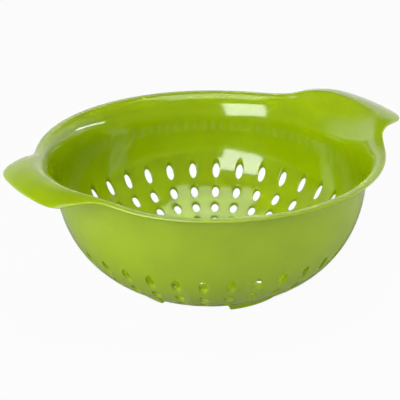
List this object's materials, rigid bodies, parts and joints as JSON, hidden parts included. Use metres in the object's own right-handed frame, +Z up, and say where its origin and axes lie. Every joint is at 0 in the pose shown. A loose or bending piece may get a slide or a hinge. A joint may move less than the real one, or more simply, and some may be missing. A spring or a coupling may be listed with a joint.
{
  "type": "colander",
  "caption": "Round moulded plastic colander with a flared rim, two opposite tab handles, rows of drain holes in the lower wall and floor, and arc-shaped feet.",
  "frame": {"origin": "on the resting surface, below the middle of the bowl", "axes": "+X through the middle of the right handle, +Z up out of the bowl's mouth"},
  "size_m": [0.295, 0.24, 0.105],
  "materials": {
    "melamine": "high-gloss moulded melamine, lime green"
  },
  "bodies": {
    "root": {"bowl_floor": "melamine", "perforated_wall": "melamine", "upper_wall": "melamine", "right_handle": "melamine", "left_handle": "melamine", "back_rim": "melamine", "front_rim": "melamine", "right_foot": "melamine", "back_foot": "melamine", "left_foot": "melamine", "front_foot": "melamine"}
  },
  "joints": []
}
